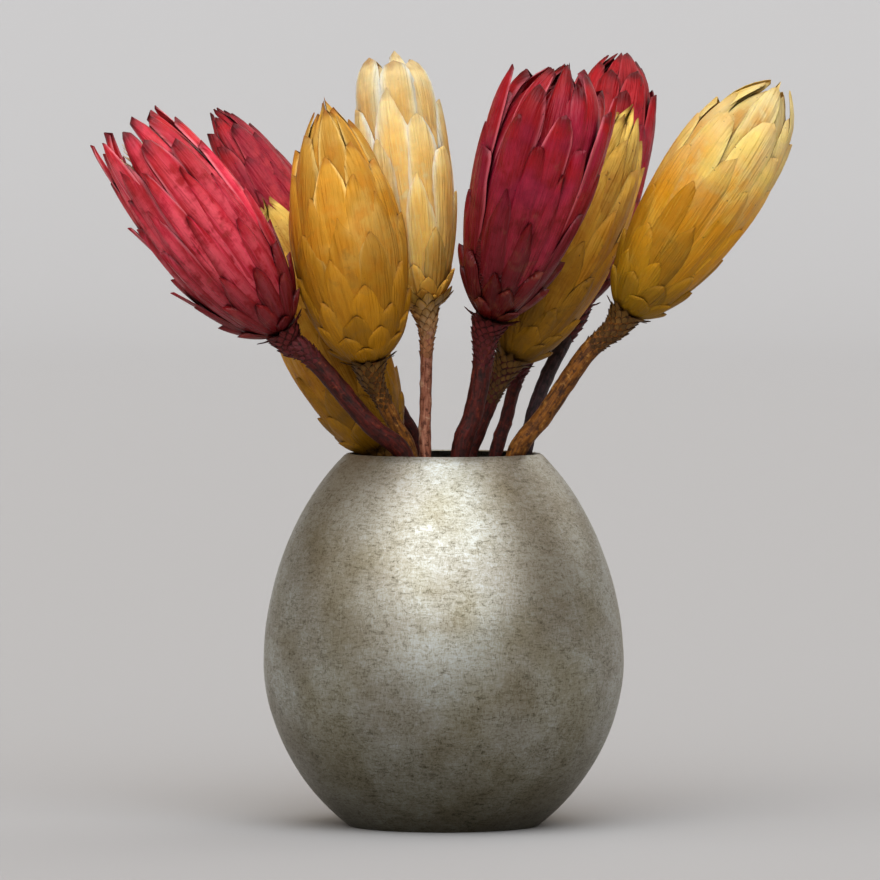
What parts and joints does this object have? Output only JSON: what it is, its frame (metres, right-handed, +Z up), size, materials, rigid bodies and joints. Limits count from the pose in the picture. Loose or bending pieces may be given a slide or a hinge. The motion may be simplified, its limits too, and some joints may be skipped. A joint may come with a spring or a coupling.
{
  "type": "bouquet of protea flowers in a vase",
  "caption": "Dried sugarbush protea flowers, red, gold and cream, on woody stems that stand loose in an egg-shaped worked metal vase.",
  "frame": {"origin": "centre of the vase's foot, on the surface it stands on", "axes": "+Z up; -Y towards the front of the bouquet; +X to the right as seen from the front"},
  "size_m": [0.3002, 0.1918, 0.3298],
  "materials": {
    "worked_metal": "satin",
    "red_bracts": "matte",
    "dark_red_bracts": "matte",
    "gold_bracts": "matte",
    "cream_bracts": "matte",
    "maroon_bark": "matte",
    "brown_bark": "matte",
    "pink_bark": "matte"
  },
  "bodies": {
    "root": {"vase": "worked_metal", "stem_red_left": "maroon_bark", "head_red_left": "red_bracts", "stem_red_back_left": "maroon_bark", "head_red_back_left": "dark_red_bracts", "stem_gold_low_left": "brown_bark", "head_gold_low_left": "gold_bracts", "stem_gold_front_left": "brown_bark", "head_gold_front_left": "gold_bracts", "stem_cream_centre": "pink_bark", "head_cream_centre": "cream_bracts", "stem_red_front": "maroon_bark", "head_red_front": "red_bracts", "stem_red_back_right": "maroon_bark", "head_red_back_right": "dark_red_bracts", "stem_gold_right_behind": "brown_bark", "head_gold_right_behind": "gold_bracts", "stem_gold_right": "brown_bark", "head_gold_right": "cream_bracts", "stem_red_back": "maroon_bark", "head_red_back": "red_bracts"}
  },
  "joints": []
}
